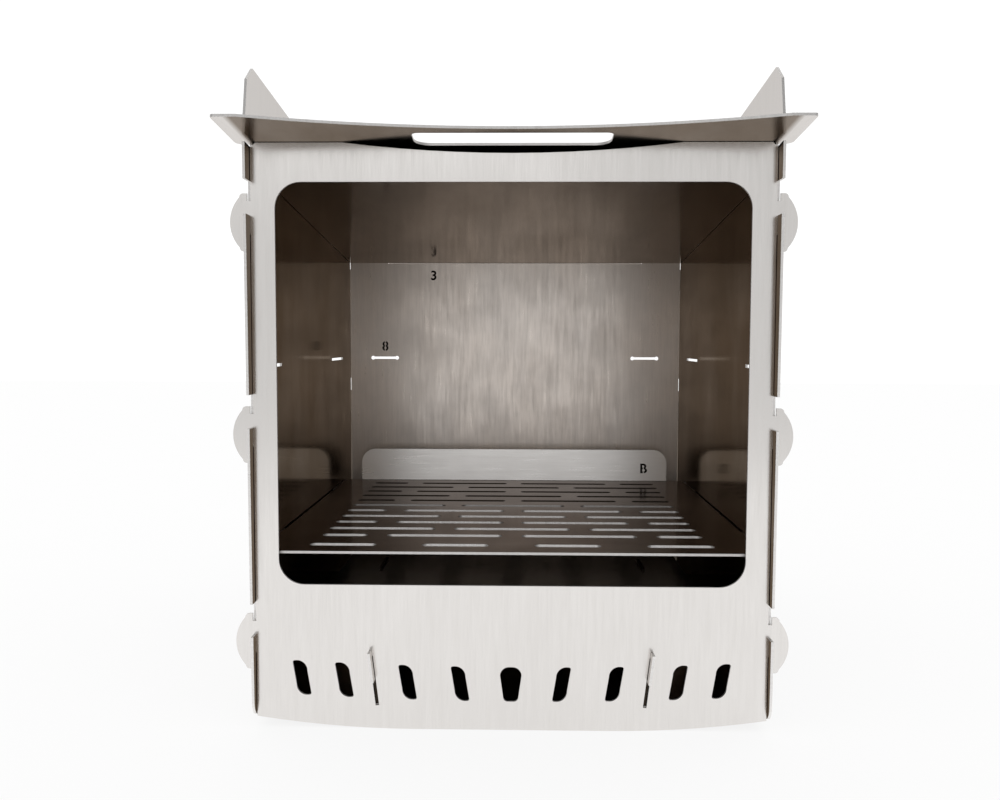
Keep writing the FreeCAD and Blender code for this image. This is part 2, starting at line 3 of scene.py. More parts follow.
import bpy
from mathutils import Matrix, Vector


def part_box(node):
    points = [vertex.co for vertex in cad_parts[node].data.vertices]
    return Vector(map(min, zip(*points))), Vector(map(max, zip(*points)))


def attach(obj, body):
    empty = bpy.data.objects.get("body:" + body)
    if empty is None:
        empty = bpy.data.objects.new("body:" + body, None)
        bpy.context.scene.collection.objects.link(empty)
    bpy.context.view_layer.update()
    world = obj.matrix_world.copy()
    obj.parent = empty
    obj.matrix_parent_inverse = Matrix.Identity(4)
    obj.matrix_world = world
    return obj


bl_info = {
    "name": "Camping oven",
    "version": (1, 0, 0),
    "blender": (4, 5, 0),
    "location": "View3D > Sidebar > Oven",
    "description": "Brushed steel, assembly marks and a white studio "
                   "for a camping oven that slots together",
    "category": "Object",
}

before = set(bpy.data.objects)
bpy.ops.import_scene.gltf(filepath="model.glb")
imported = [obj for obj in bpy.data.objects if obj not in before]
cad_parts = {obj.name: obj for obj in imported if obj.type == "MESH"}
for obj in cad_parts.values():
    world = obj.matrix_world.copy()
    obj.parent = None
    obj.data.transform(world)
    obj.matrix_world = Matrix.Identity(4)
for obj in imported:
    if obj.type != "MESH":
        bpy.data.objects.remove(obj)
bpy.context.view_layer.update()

AXES = "XYZ"
WHITE = (1.0, 1.0, 1.0, 1.0)

# Parts of the oven that the finishes follow, in metres
SHEET = 0.0015
ROOF_LEVEL = 0.3285
ROOF_SLOPE = math.tan(math.radians(5.28))
FOLD_CLEAR = 0.0001
BACK_MARGIN = 0.0006
ROOF_MARGIN = 0.002
# Width over which the painted shade fades out at its sides
TINT_FADE = 0.004
# Where painted shade darkens the cut edges: along Y on the shelf, and just behind the front panel on
# the fire walls
SHELF_EDGE_SHADE = (0.0, 0.04)
WALL_EDGE_SHADE = (-0.0010, -0.0005)

# How far a normal may turn to the face's axis on a cut edge, and has to on the inward face
EDGE_TURN = 0.6
INWARD_TURN = 0.5

# Grains of each noise across and along its axis, and how far it is moved from the hairlines
SHIFT_SHARES = (1.0, 1.7, 2.3)
STROKE_WIDER, STROKE_LONGER, STROKE_SHIFT = 4.5, 2.2, 3.0
HAZE_ACROSS, HAZE_ALONG, HAZE_SHIFT = 0.055, 0.11, 7.0
FILM_GRAIN, FILM_SHIFT = 0.03, 11.0
BURR_ACROSS, BURR_ALONG, BURR_SHIFT = 0.0004, 0.01, 5.0

# The stretch of each noise that counts, from one end of its effect to the other
CREST_SPAN = (0.36, 0.64)
CLOUD_SPAN = (0.35, 0.68)
SHADE_PATCH_SPAN = (0.38, 0.66)
DULL_SPAN = (0.35, 0.68)
SMEAR_SPAN = (0.4, 0.8)
EVEN_SPAN = (0.3, 0.7)
CHAR_SPAN = (0.35, 0.7)

# Shares of the steel's look
HAIR_SHARE, STROKE_SHARE = 0.45, 0.55
CLOUD_SHARE, CLOUD_DARK = 0.3, 0.95
PATCH_LOW, PATCH_HIGH = 0.84, 1.16
# How the painted shade's colour varies at random: its swing and its darker patches
SHADE_SWING, SHADE_PATCH_SHARE, SHADE_PATCH_DARK = 0.05, 0.3, 0.8
BURR_SHARE = 0.4
SMEAR_ROUGH, FOLD_ROUGH = 0.04, 0.14
EDGE_GLOSS, EDGE_MATT = 0.46, 0.62
BARE_SHINE = (0.76, 0.74, 0.725)
SHINE_GAIN = 1.25

# Assembly marks
TEXT_SIZE_SHARE = 1.38
CHAR_GRAIN, CHAR_SHIFT, CHAR_PALE_SHARE = 0.0006, 4.0, 2.2
CHAR_GLOSS, CHAR_MATT, CHAR_SHINE = 0.55, 0.75, 0.12
WELD = 0.000005
SLIVER = 0.00001
NO_BRIDGE, LOW_BRIDGE_SHARE, FULL_BRIDGE_SHARE = 0.0, 0.72, 1.2

# Studio: directions are shares of the room's radius
SOFTBOX_SPAN = (-0.92, -0.72)
BEHIND_SPAN = (-0.25, 0.05)
ACROSS_SPAN = (0.4, 0.9)
FLOOR_SQUARES = 8
FLOOR_FALL = (1.0, 2.0)
FLOOR_GRAIN, FLOOR_SHIFT, FLOOR_DARK = 0.05, 2.0, 0.985
SENSOR = 36.0


# Settings a user would change

class OvenSteelSettings(bpy.types.PropertyGroup):
    """The look of the stainless steel sheet."""
    pale: bpy.props.FloatVectorProperty(
        name="Pale steel", description="Colour on the crests of the brushing", subtype="COLOR",
        size=3, min=0.0, max=1.0, default=(0.812, 0.788, 0.766))
    deep: bpy.props.FloatVectorProperty(
        name="Deep steel", description="Colour in the furrows of the brushing", subtype="COLOR",
        size=3, min=0.0, max=1.0, default=(0.776, 0.751, 0.727))
    # Paler than the faces: partly bare cut metal, partly a painted edge highlight
    cut: bpy.props.FloatVectorProperty(
        name="Cut edge", description="Colour of the bare edge that the laser leaves", subtype="COLOR",
        size=3, min=0.0, max=1.0, default=(0.90, 0.885, 0.87))
    # The heat, straw and smoke tints are painted shade: darker colours for the faces inside the oven,
    # where shade falls and the steel mirrors a dark room
    inner_shade: bpy.props.FloatVectorProperty(
        name="Heat tint", description="Colour that the fire leaves on the inner faces", subtype="COLOR",
        size=3, min=0.0, max=1.0, default=(0.275, 0.242, 0.213))
    back_shade: bpy.props.FloatVectorProperty(
        name="Straw tint", description="Colour that a weaker heat leaves on the back panel",
        subtype="COLOR", size=3, min=0.0, max=1.0, default=(0.715, 0.637, 0.573))
    # Painted shade on the cut edges deep inside the oven
    burn_and_edge_shade: bpy.props.FloatVectorProperty(
        name="Sooty edge", description="Colour of the cut edges near the fire", subtype="COLOR",
        size=3, min=0.0, max=1.0, default=(0.045, 0.036, 0.028))
    shelf_shade: bpy.props.FloatVectorProperty(
        name="Smoke tint", description="Colour that smoke leaves on the shelf", subtype="COLOR",
        size=3, min=0.0, max=1.0, default=(0.300, 0.276, 0.262))
    graze: bpy.props.FloatProperty(
        name="Low angle", description="How much brighter a tint shines at a low angle",
        min=1.0, default=1.4)
    hair: bpy.props.FloatProperty(
        name="Hairline width", description="Width of one brushed line", unit="LENGTH",
        min=0.0001, default=0.0006)
    stroke: bpy.props.FloatProperty(
        name="Stroke length", description="Length of one brushed line", unit="LENGTH",
        min=0.001, default=0.018)
    furrow: bpy.props.FloatProperty(
        name="Furrow depth", description="Height of the brushing for the bump", unit="LENGTH",
        min=0.0, default=0.000006)
    spring: bpy.props.FloatProperty(
        name="Spring-back", description="How far the shelf's bent edge leans back in the light",
        unit="ROTATION", min=0.0, max=0.3, default=math.radians(5.5))
    eased: bpy.props.FloatProperty(
        name="Eased edge", description="How far the shelf's deburred cut edges lean back in the light",
        unit="ROTATION", min=0.0, max=0.5, default=math.radians(15.0))
    gloss: bpy.props.FloatProperty(
        name="Smoothest", description="Roughness where the sheet is cleanest", subtype="FACTOR",
        min=0.0, max=1.0, default=0.16)
    matt: bpy.props.FloatProperty(
        name="Roughest", description="Roughness where the brushing is deepest", subtype="FACTOR",
        min=0.0, max=1.0, default=0.23)


class OvenMarkSettings(bpy.types.PropertyGroup):
    """The signs that show which sheet goes where."""
    tall: bpy.props.FloatProperty(
        name="Sign height", description="Height of a sign", unit="LENGTH", min=0.001, default=0.0085)
    bold: bpy.props.FloatProperty(
        name="Boldness", description="How far a sign's outline grows", unit="LENGTH",
        min=0.0, default=0.0003)
    steps: bpy.props.IntProperty(
        name="Curve steps", description="Straight steps in each curve of a sign's outline",
        min=1, default=3)
    bridge: bpy.props.FloatProperty(
        name="Stencil bridge", description="Width of the strip that holds a sign's islands",
        unit="LENGTH", min=0.0, default=0.0008)
    proud: bpy.props.FloatProperty(
        name="Film", description="Thickness of the burnt film", unit="LENGTH",
        min=0.00001, default=0.00006)
    burn_and_edge_shade: bpy.props.FloatVectorProperty(
        name="Burnt colour", description="Colour of the laser marking", subtype="COLOR",
        size=3, min=0.0, max=1.0, default=(0.012, 0.010, 0.008))


class OvenStageSettings(bpy.types.PropertyGroup):
    """The floor, the light and the camera."""
    floor_wide: bpy.props.FloatProperty(
        name="Floor", description="Side of the floor", unit="LENGTH", min=1.0, default=9.0)
    floor_pale: bpy.props.FloatVectorProperty(
        name="Floor colour", description="Colour of the floor", subtype="COLOR",
        size=3, min=0.0, max=1.0, default=(0.86, 0.86, 0.86))
    glow: bpy.props.FloatProperty(
        name="Floor white", description="How much of the floor's look is plain white",
        subtype="FACTOR", min=0.0, max=1.0, default=0.85)
    far_floor: bpy.props.FloatProperty(
        name="Far floor", description="How bright the floor far from the oven shines in the steel",
        subtype="FACTOR", min=0.0, max=1.0, default=0.7)
    room: bpy.props.FloatProperty(
        name="Room light", description="Strength of the even light all round", min=0.0, default=1.1)
    softbox: bpy.props.FloatProperty(
        name="Soft light", min=0.0, default=0.76,
        description="How bright the soft light behind the camera shines in the steel")
    corners: bpy.props.FloatProperty(
        name="Room corners", description="How bright the room around that light shines in the steel",
        min=0.0, default=0.12)
    behind: bpy.props.FloatProperty(
        name="Room behind", description="How bright the room behind the oven shines in the steel",
        min=0.0, default=0.87)
    across: bpy.props.FloatProperty(
        name="Room sides", description="How much of that is left to the left and the right",
        subtype="FACTOR", min=0.0, max=1.0, default=0.75)
    key_power: bpy.props.FloatProperty(
        name="Key light", description="Power of the large soft light at the front", unit="POWER",
        min=0.0, default=1.5)
    key_spot: bpy.props.FloatVectorProperty(
        name="Key light place", description="Where the large soft light stands", subtype="TRANSLATION",
        unit="LENGTH", size=3, default=(-0.5, -1.9, 1.2))
    key_wide: bpy.props.FloatProperty(
        name="Key light width", description="Width of the large soft light", unit="LENGTH",
        min=0.01, default=1.6)
    key_tall: bpy.props.FloatProperty(
        name="Key light height", description="Height of the large soft light", unit="LENGTH",
        min=0.01, default=1.2)
    key_up: bpy.props.FloatProperty(
        name="Key light tilt", description="How far the large soft light is tilted up from facing down",
        unit="ROTATION", default=math.radians(62.0))
    key_left: bpy.props.FloatProperty(
        name="Key light turn", description="How far the large soft light is turned to the left",
        unit="ROTATION", default=math.radians(-15.0))
    lens: bpy.props.FloatProperty(
        name="Lens", description="Focal length on a 36 mm wide sensor", unit="CAMERA",
        min=1.0, default=33.85)
    spot: bpy.props.FloatVectorProperty(
        name="Camera place", description="Where the camera stands", subtype="TRANSLATION",
        unit="LENGTH", size=3, default=(0.0039, -0.6844, 0.2289))
    down: bpy.props.FloatProperty(
        name="Camera down", description="How far the camera looks down", unit="ROTATION",
        default=0.0631)
    left: bpy.props.FloatProperty(
        name="Camera left", description="How far the camera looks left", unit="ROTATION",
        default=0.0197)
    roll: bpy.props.FloatProperty(
        name="Camera roll", description="How far the camera leans", unit="ROTATION", default=0.0027)


# Node building

def add(tree, kind, **settings):
    """A node with its properties set, and its input sockets too where a setting starts with in_."""
    item = tree.nodes.new(kind)
    for key, setting in settings.items():
        if key.startswith("in_"):
            item.inputs[key[3:].replace("_", " ")].default_value = setting
        else:
            setattr(item, key, setting)
    return item


def join(tree, *steps):
    """Links an output to an input, pair by pair."""
    for out, into in steps:
        tree.links.new(out, into)


def feed(tree, socket, side):
    """Links an output to an input, or sets the input to a number or a colour."""
    if isinstance(side, bpy.types.NodeSocket):
        tree.links.new(side, socket)
    elif socket.type == "RGBA":
        socket.default_value = (*side, 1.0)
    else:
        socket.default_value = side


def sums(tree, kind, left, right, clamp=False):
    """A math node whose sides are sockets or numbers."""
    item = add(tree, "ShaderNodeMath", operation=kind, use_clamp=clamp)
    for socket, side in zip(item.inputs, (left, right)):
        feed(tree, socket, side)
    return item.outputs[0]


def spread(tree, source, span, first, last):
    """A value carried from a span to the stretch between two numbers, and held inside it."""
    item = add(tree, "ShaderNodeMapRange", clamp=True)
    for socket, side in zip(item.inputs, (source, *span, first, last)):
        feed(tree, socket, side)
    return item.outputs[0]


def blend(tree, share, first, second):
    """Two colours mixed by a share."""
    item = add(tree, "ShaderNodeMix", data_type="RGBA")
    join(tree, (share, item.inputs["Factor"]))
    colours = [entry for entry in item.inputs if entry.type == "RGBA"]
    for socket, side in zip(colours, (first, second)):
        feed(tree, socket, side)
    return [entry for entry in item.outputs if entry.type == "RGBA"][0]


def choose(tree, share, first, second):
    """One of two values, or a step between them."""
    item = add(tree, "ShaderNodeMix", data_type="FLOAT")
    for socket, side in zip((item.inputs[0], *item.inputs[2:4]), (share, first, second)):
        feed(tree, socket, side)
    return item.outputs[0]


def scaled(parts, share):
    """Each part of a colour or a vector times a share."""
    return [share * part for part in parts]


def split(tree, vector):
    """The X, Y and Z of a vector."""
    item = add(tree, "ShaderNodeSeparateXYZ")
    join(tree, (vector, item.inputs[0]))
    return item.outputs


def noise(tree, place, sizes, shift, detail=3.0, rough=0.55):
    """Noise whose grains have these sizes along X, Y and Z."""
    mapping = add(tree, "ShaderNodeMapping")
    mapping.inputs["Scale"].default_value = [1.0 / size for size in sizes]
    mapping.inputs["Location"].default_value = scaled(SHIFT_SHARES, shift)
    grains = add(tree, "ShaderNodeTexNoise", in_Scale=1.0, in_Detail=detail, in_Roughness=rough)
    join(tree, (place, mapping.inputs["Vector"]), (mapping.outputs["Vector"], grains.inputs["Vector"]))
    return grains.outputs["Fac"]


def along(axis, near, far):
    """Sizes along X, Y and Z with one axis picked out."""
    return [far if letter == axis else near for letter in AXES]


def new_material(name):
    """A material with an empty node tree."""
    material = bpy.data.materials.new(name)
    material.use_nodes = True
    material.node_tree.nodes.clear()
    return material, material.node_tree


# Brushed steel

def half_room():
    """Half the width between the side panels."""
    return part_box("right_side_panel")[0].x


def cut_edges(tree, turn, face):
    """1 on the narrow edges that the laser cut, 0 on the broad faces."""
    return sums(tree, "LESS_THAN", sums(tree, "ABSOLUTE", turn[face], 0.0), EDGE_TURN)


def above(tree, place, level, slope=0.0):
    """1 above a level, which falls to the back by a slope, and 0 below it."""
    spot = split(tree, place)
    height = sums(tree, "ADD", spot["Z"], sums(tree, "MULTIPLY", spot["Y"], slope))
    return sums(tree, "GREATER_THAN", height, level)


def aside(tree, place):
    """How far from the middle plane a point is, to the left or the right."""
    return sums(tree, "ABSOLUTE", split(tree, place)["X"], 0.0)


def indoors(tree, place, span):
    """Grows from 0 to 1 over a span along Y, and is 0 outside the side panels."""
    between = sums(tree, "LESS_THAN", aside(tree, place), half_room())
    return sums(tree, "MULTIPLY", between, spread(tree, split(tree, place)["Y"], span, 0.0, 1.0))


def leaning(tree, place, share, angle):
    """The slope of a surface that leans back by an angle, as a height for the bump."""
    steepness = math.tan(angle) / bpy.context.scene.oven_steel.furrow
    return sums(tree, "MULTIPLY", sums(tree, "MULTIPLY", split(tree, place)["Z"], steepness), share)


def painted_shade_share(tree, place, shade_depth, inside, raised, roofed, within, behind):
    """How much painted shade, the dark tint inside the oven, a point has. It stays a number where it is
    the same all over.
    """
    share = shade_depth
    if inside is not None:
        share = sums(tree, "MULTIPLY", inside, share)
    if roofed:
        share = choose(tree, above(tree, place, ROOF_LEVEL, ROOF_SLOPE), share, 0.0)
    if within is not None:
        border = (within, within + TINT_FADE)
        share = sums(tree, "MULTIPLY", share, spread(tree, aside(tree, place), border, 1.0, 0.0))
    if behind is not None:
        share = sums(tree, "MULTIPLY", share, indoors(tree, place, behind))
    if raised is not None:
        share = choose(tree, raised, share, 0.0)
    return share


def brushed_sheet(name, face, grain, shift, inward=0, shade_depth=0.0, hue="inner_shade", fold=None, roofed=False,
                  within=None, shaded_edges=None, behind=None, polish=1.0, shade_patchiness=1.0):
    """Stainless sheet: hairlines along the grain, broader strokes, cloudy haze, and paler cut edges,
    which are partly bare metal and partly a painted edge highlight.

    The tint is painted shade: a darker colour that stands in for the shade and the dark reflections
    inside the oven. It lies on the face that points inward (1 or -1 along the face's axis), or on both
    (0).
    Above the level of a fold the sheet stands upright across Y, is satin and has no tint. A roofed
    sheet has no tint where it stands up past the roof, and within gives half the width that has one.
    Tinted steel shines less at a low angle. Inside the oven, the cut edges of a sheet with edge shade
    get darker painted shade from the first of two places along Y to the second, and behind gives two
    such places for the tint. Polish makes the tinted faces smoother below 1 and rougher above it. The
    last argument sets how much the painted shade's colour varies at random.
    """
    steel = bpy.context.scene.oven_steel
    material, tree = new_material(name)
    coords = add(tree, "ShaderNodeTexCoord")
    place = coords.outputs["Object"]

    # Broad faces, cut edges and where the painted shade, the tint, goes
    turn = split(tree, coords.outputs["Normal"])
    edge = cut_edges(tree, turn, face)
    inside = raised = None
    if inward:
        facing = sums(tree, "MULTIPLY", turn[face], inward)
        inside = sums(tree, "GREATER_THAN", facing, INWARD_TURN)
        polish = choose(tree, inside, 1.0, polish)
    if fold is not None:
        raised = above(tree, place, fold)
        edge = choose(tree, raised, edge, cut_edges(tree, turn, "Y"))
    tint = painted_shade_share(tree, place, shade_depth, inside, raised, roofed, within, behind)

    # Noises
    hair = noise(tree, place, along(grain, steel.hair, steel.stroke), shift, detail=2.0)
    strokes = noise(tree, place, along(grain, STROKE_WIDER * steel.hair, STROKE_LONGER * steel.stroke),
                    shift + STROKE_SHIFT)
    haze = noise(tree, place, along(grain, HAZE_ACROSS, HAZE_ALONG), shift + HAZE_SHIFT,
                 detail=4.0, rough=0.6)
    film = noise(tree, place, along(grain, FILM_GRAIN, FILM_GRAIN), shift + FILM_SHIFT)
    burr = noise(tree, place, along(face, BURR_ACROSS, BURR_ALONG), shift + BURR_SHIFT, detail=1.0)
    brushing = sums(tree, "ADD", sums(tree, "MULTIPLY", hair, HAIR_SHARE),
                    sums(tree, "MULTIPLY", strokes, STROKE_SHARE))

    # Colour of the bare steel, the painted shade and the cut edges
    crest = spread(tree, brushing, CREST_SPAN, 0.0, 1.0)
    tone = blend(tree, crest, steel.deep, steel.pale)
    cloud = spread(tree, haze, CLOUD_SPAN, 0.0, CLOUD_SHARE)
    tone = blend(tree, cloud, tone, scaled(steel.deep, CLOUD_DARK))
    # The painted shade's colour, varied a little along the brushing and in random patches
    burnt, swing = getattr(steel, hue), SHADE_SWING * shade_patchiness
    shade_tone = blend(tree, crest, scaled(burnt, 1.0 - swing), scaled(burnt, 1.0 + swing))
    shade_tone = blend(tree, spread(tree, film, SHADE_PATCH_SPAN, 0.0, SHADE_PATCH_SHARE * shade_patchiness), shade_tone,
                  scaled(burnt, SHADE_PATCH_DARK))
    patch = spread(tree, haze, EVEN_SPAN, PATCH_LOW, PATCH_HIGH)
    tone = blend(tree, sums(tree, "MULTIPLY", patch, tint, clamp=True), tone, shade_tone)
    # Cut edges are paler: partly bare cut metal, partly a painted edge highlight
    edge_tone = blend(tree, spread(tree, burr, EVEN_SPAN, 0.0, BURR_SHARE), steel.cut, steel.deep)
    # Painted shade on the cut edges deep inside the oven
    if shaded_edges is not None:
        edge_tone = blend(tree, indoors(tree, place, shaded_edges), edge_tone, steel.burn_and_edge_shade)
    tone = blend(tree, edge, tone, edge_tone)

    # Roughness
    dull = spread(tree, brushing, DULL_SPAN, steel.matt, steel.gloss)
    smear = spread(tree, film, SMEAR_SPAN, 0.0, SMEAR_ROUGH)
    dull = sums(tree, "MULTIPLY", sums(tree, "ADD", dull, smear, clamp=True), polish)
    if raised is not None:
        dull = sums(tree, "ADD", dull, sums(tree, "MULTIPLY", raised, FOLD_ROUGH))
    rough = choose(tree, edge, dull, spread(tree, burr, EVEN_SPAN, EDGE_GLOSS, EDGE_MATT))

    # Height for the bump
    height = choose(tree, edge, brushing, burr)
    if raised is not None:
        height = sums(tree, "SUBTRACT", height, leaning(tree, place, raised, steel.spring))
        height = sums(tree, "SUBTRACT", height, leaning(tree, place, edge, steel.eased))
    bump = add(tree, "ShaderNodeBump", in_Strength=1.0, in_Distance=steel.furrow)

    # Shine at a low angle, linked only where it varies
    shine = [min(1.0, part) for part in scaled(burnt, steel.graze)] if shade_depth else BARE_SHINE
    if isinstance(tint, bpy.types.NodeSocket):
        shine = blend(tree, sums(tree, "MULTIPLY", tint, SHINE_GAIN, clamp=True), BARE_SHINE, shine)
    shader = add(tree, "ShaderNodeBsdfPrincipled", in_Metallic=1.0)
    feed(tree, shader.inputs["Specular Tint"], shine)
    output = add(tree, "ShaderNodeOutputMaterial")
    join(tree, (height, bump.inputs["Height"]), (bump.outputs[0], shader.inputs["Normal"]),
         (tone, shader.inputs["Base Color"]), (rough, shader.inputs["Roughness"]),
         (shader.outputs[0], output.inputs["Surface"]))
    return material


def dress(node, material):
    """Gives a CAD piece its finish."""
    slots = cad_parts[node].material_slots
    for slot in slots:
        slot.material = material
    if not slots:
        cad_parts[node].data.materials.append(material)


class OVEN_OT_front_panel(bpy.types.Operator):
    """Brushed steel for the front panel with its window, vents and hooks"""
    bl_idname = "oven.front_panel"
    bl_label = "Front panel"

    def execute(self, context):
        dress("front_panel", brushed_sheet("front_brushed_steel", face="Y", grain="Z", shift=1.0))
        return {"FINISHED"}


class OVEN_OT_back_panel(bpy.types.Operator):
    """Brushed steel for the back panel, whose inside shows through the window"""
    bl_idname = "oven.back_panel"
    bl_label = "Back panel"

    def execute(self, context):
        # The inner face gets painted shade in a straw colour, within the side panels
        dress("back_panel", brushed_sheet(
            "back_brushed_steel", face="Y", grain="Z", shift=2.0, inward=-1, shade_depth=0.8, hue="back_shade",
            within=half_room() - BACK_MARGIN, polish=1.6, shade_patchiness=1.6))
        return {"FINISHED"}


class OVEN_OT_side_panels(bpy.types.Operator):
    """Brushed steel for the two side panels that carry every other sheet"""
    bl_idname = "oven.side_panels"
    bl_label = "Side panels"

    def execute(self, context):
        for side, shift, inward in (("left", 3.0, 1), ("right", 4.0, -1)):
            # The inner faces get painted shade below the roof
            dress(f"{side}_side_panel", brushed_sheet(
                f"{side}_brushed_steel", face="X", grain="Z", shift=shift, inward=inward, shade_depth=0.95,
                roofed=True, polish=0.55))
        return {"FINISHED"}


class OVEN_OT_roof_plate(bpy.types.Operator):
    """Brushed steel for the sliding roof plate with its visor and hand grip"""
    bl_idname = "oven.roof_plate"
    bl_label = "Roof plate"

    def execute(self, context):
        # The underside gets painted shade, within the side panels
        dress("roof_plate", brushed_sheet(
            "roof_brushed_steel", face="Z", grain="Y", shift=5.0, inward=-1, shade_depth=0.8,
            within=half_room() - ROOF_MARGIN))
        return {"FINISHED"}


class OVEN_OT_ceiling_plate(bpy.types.Operator):
    """Brushed steel for the ceiling plate under the roof"""
    bl_idname = "oven.ceiling_plate"
    bl_label = "Ceiling plate"

    def execute(self, context):
        # The underside gets painted shade
        dress("ceiling_plate", brushed_sheet(
            "ceiling_brushed_steel", face="Z", grain="Y", shift=6.0, inward=-1, shade_depth=0.6, polish=0.6))
        return {"FINISHED"}


class OVEN_OT_baking_shelf(bpy.types.Operator):
    """Brushed steel for the slotted baking shelf and its upturned rear edge"""
    bl_idname = "oven.baking_shelf"
    bl_label = "Baking shelf"

    def execute(self, context):
        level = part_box("baking_shelf")[0].z + SHEET + FOLD_CLEAR
        # Painted shade on the shelf but not on its upturned edge, and darker painted shade on the cut
        # edges towards the back
        dress("baking_shelf", brushed_sheet(
            "shelf_brushed_steel", face="Z", grain="X", shift=7.0, shade_depth=0.9, hue="shelf_shade", fold=level,
            shaded_edges=SHELF_EDGE_SHADE, polish=0.75))
        return {"FINISHED"}


class OVEN_OT_fire_box(bpy.types.Operator):
    """Brushed steel for the fire walls, the heat deflector and the ash floor"""
    bl_idname = "oven.fire_box"
    bl_label = "Fire box"

    def execute(self, context):
        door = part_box("front_panel")[1].y
        inner = [door + step for step in WALL_EDGE_SHADE]
        for side, shift in (("left", 8.0), ("right", 9.0)):
            # Painted shade on the fire walls behind the front panel, darker on their cut edges there
            dress(f"{side}_fire_wall", brushed_sheet(
                f"{side}_fire_brushed_steel", face="X", grain="Y", shift=shift, shade_depth=1.0,
                shaded_edges=inner, behind=inner))
        # Painted shade on the deflector and the ash floor
        dress("heat_deflector", brushed_sheet(
            "deflector_brushed_steel", face="Z", grain="Y", shift=10.0, shade_depth=0.6))
        dress("ash_floor", brushed_sheet(
            "ash_floor_brushed_steel", face="Z", grain="X", shift=11.0, shade_depth=0.8))
        return {"FINISHED"}


# Assembly marks

def burnt_film():
    """The dark, dry film that a marking laser leaves, a little uneven."""
    mark = bpy.context.scene.oven_marks
    material, tree = new_material("laser_mark")
    coords = add(tree, "ShaderNodeTexCoord")
    grains = noise(tree, coords.outputs["Object"], [CHAR_GRAIN for _ in AXES], CHAR_SHIFT)
    patch = spread(tree, grains, CHAR_SPAN, 0.0, 1.0)
    tone = blend(tree, patch, mark.burn_and_edge_shade, scaled(mark.burn_and_edge_shade, CHAR_PALE_SHARE))
    dull = spread(tree, grains, EVEN_SPAN, CHAR_GLOSS, CHAR_MATT)
    shader = add(tree, "ShaderNodeBsdfPrincipled", in_Metallic=0.0, in_Specular_IOR_Level=CHAR_SHINE)
    output = add(tree, "ShaderNodeOutputMaterial")
    join(tree, (tone, shader.inputs["Base Color"]), (dull, shader.inputs["Roughness"]),
         (shader.outputs[0], output.inputs["Surface"]))
    return material


def deselect():
    """Leaves no object selected."""
    for entry in bpy.context.selected_objects:
        entry.select_set(False)


def sign(name, text, bridge_share):
    """A bold sign as a thin film on the XY plane, centred on the origin. A stencil bridge cuts through
    this share of its height, from the foot up."""
    mark = bpy.context.scene.oven_marks
    deselect()
    bpy.ops.object.text_add(location=(0.0, 0.0, 0.0))
    piece = bpy.context.object
    piece.name = name
    piece.data.body = text
    piece.data.align_x = "CENTER"
    piece.data.align_y = "CENTER"
    piece.data.size = mark.tall * TEXT_SIZE_SHARE
    piece.data.offset = mark.bold
    piece.data.resolution_u = mark.steps
    bpy.ops.object.convert(target="MESH")
    piece = bpy.context.object
    bpy.ops.object.mode_set(mode="EDIT")
    bpy.ops.mesh.select_all(action="SELECT")
    bpy.ops.mesh.remove_doubles(threshold=WELD)
    if bridge_share:
        cut_bridge(mark.bridge, (bridge_share - 0.5) * mark.tall)
    bpy.ops.object.mode_set(mode="OBJECT")
    bpy.ops.object.modifier_add(type="SOLIDIFY")
    film = piece.modifiers[-1]
    film.thickness = mark.proud
    film.offset = 0.0
    bpy.ops.object.modifier_apply(modifier=film.name)
    bpy.ops.object.origin_set(type="ORIGIN_GEOMETRY", center="BOUNDS")
    piece.location = (0.0, 0.0, 0.0)
    return piece


def cut_bridge(wide, top):
    """Takes a strip out of the middle of the flat mesh in edit mode, up to a height."""
    for side in (1.0, -1.0):
        bpy.ops.mesh.select_all(action="SELECT")
        bpy.ops.mesh.bisect(plane_co=(side * wide / 2.0, 0.0, 0.0), plane_no=(side, 0.0, 0.0))
    bpy.ops.mesh.select_all(action="DESELECT")
    bpy.ops.object.mode_set(mode="OBJECT")
    for patch in bpy.context.object.data.polygons:
        patch.select = abs(patch.center.x) < wide / 2.0 - SLIVER and patch.center.y < top
    bpy.ops.object.mode_set(mode="EDIT")
    bpy.ops.mesh.select_mode(type="FACE")
    bpy.ops.mesh.delete(type="FACE")


def stand(piece, place):
    """Turns a piece upright to face the front, puts it in its place, and leaves that in its mesh."""
    deselect()
    piece.select_set(True)
    bpy.context.view_layer.objects.active = piece
    piece.rotation_euler = (math.pi / 2.0, 0.0, 0.0)
    piece.location = place
    bpy.ops.object.transform_apply(location=True, rotation=True, scale=True)


class OVEN_OT_marks(bpy.types.Operator):
    """The signs on the back panel and the shelf that show which sheet goes where"""
    bl_idname = "oven.marks"
    bl_label = "Assembly marks"

    def execute(self, context):
        mark = context.scene.oven_marks
        film = burnt_film()
        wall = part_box("back_panel")[0].y - mark.proud / 2.0
        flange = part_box("baking_shelf")[1].y - SHEET - mark.proud / 2.0
        marks = [
            ("mark_back_high", "3", NO_BRIDGE, (-0.0737, wall, 0.2880), "back_steel"),
            ("mark_back_shelf", "8", FULL_BRIDGE_SHARE, (-0.1182, wall, 0.2237), "back_steel"),
            ("mark_flange", "B", LOW_BRIDGE_SHARE, (0.1150, flange, 0.1162), "shelf_steel"),
        ]
        for name, text, bridge_share, place, slot in marks:
            piece = sign(name, text, bridge_share)
            stand(piece, place)
            piece.data.materials.clear()
            piece.data.materials.append(film)
            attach(piece, "oven")
        return {"FINISHED"}


# Studio

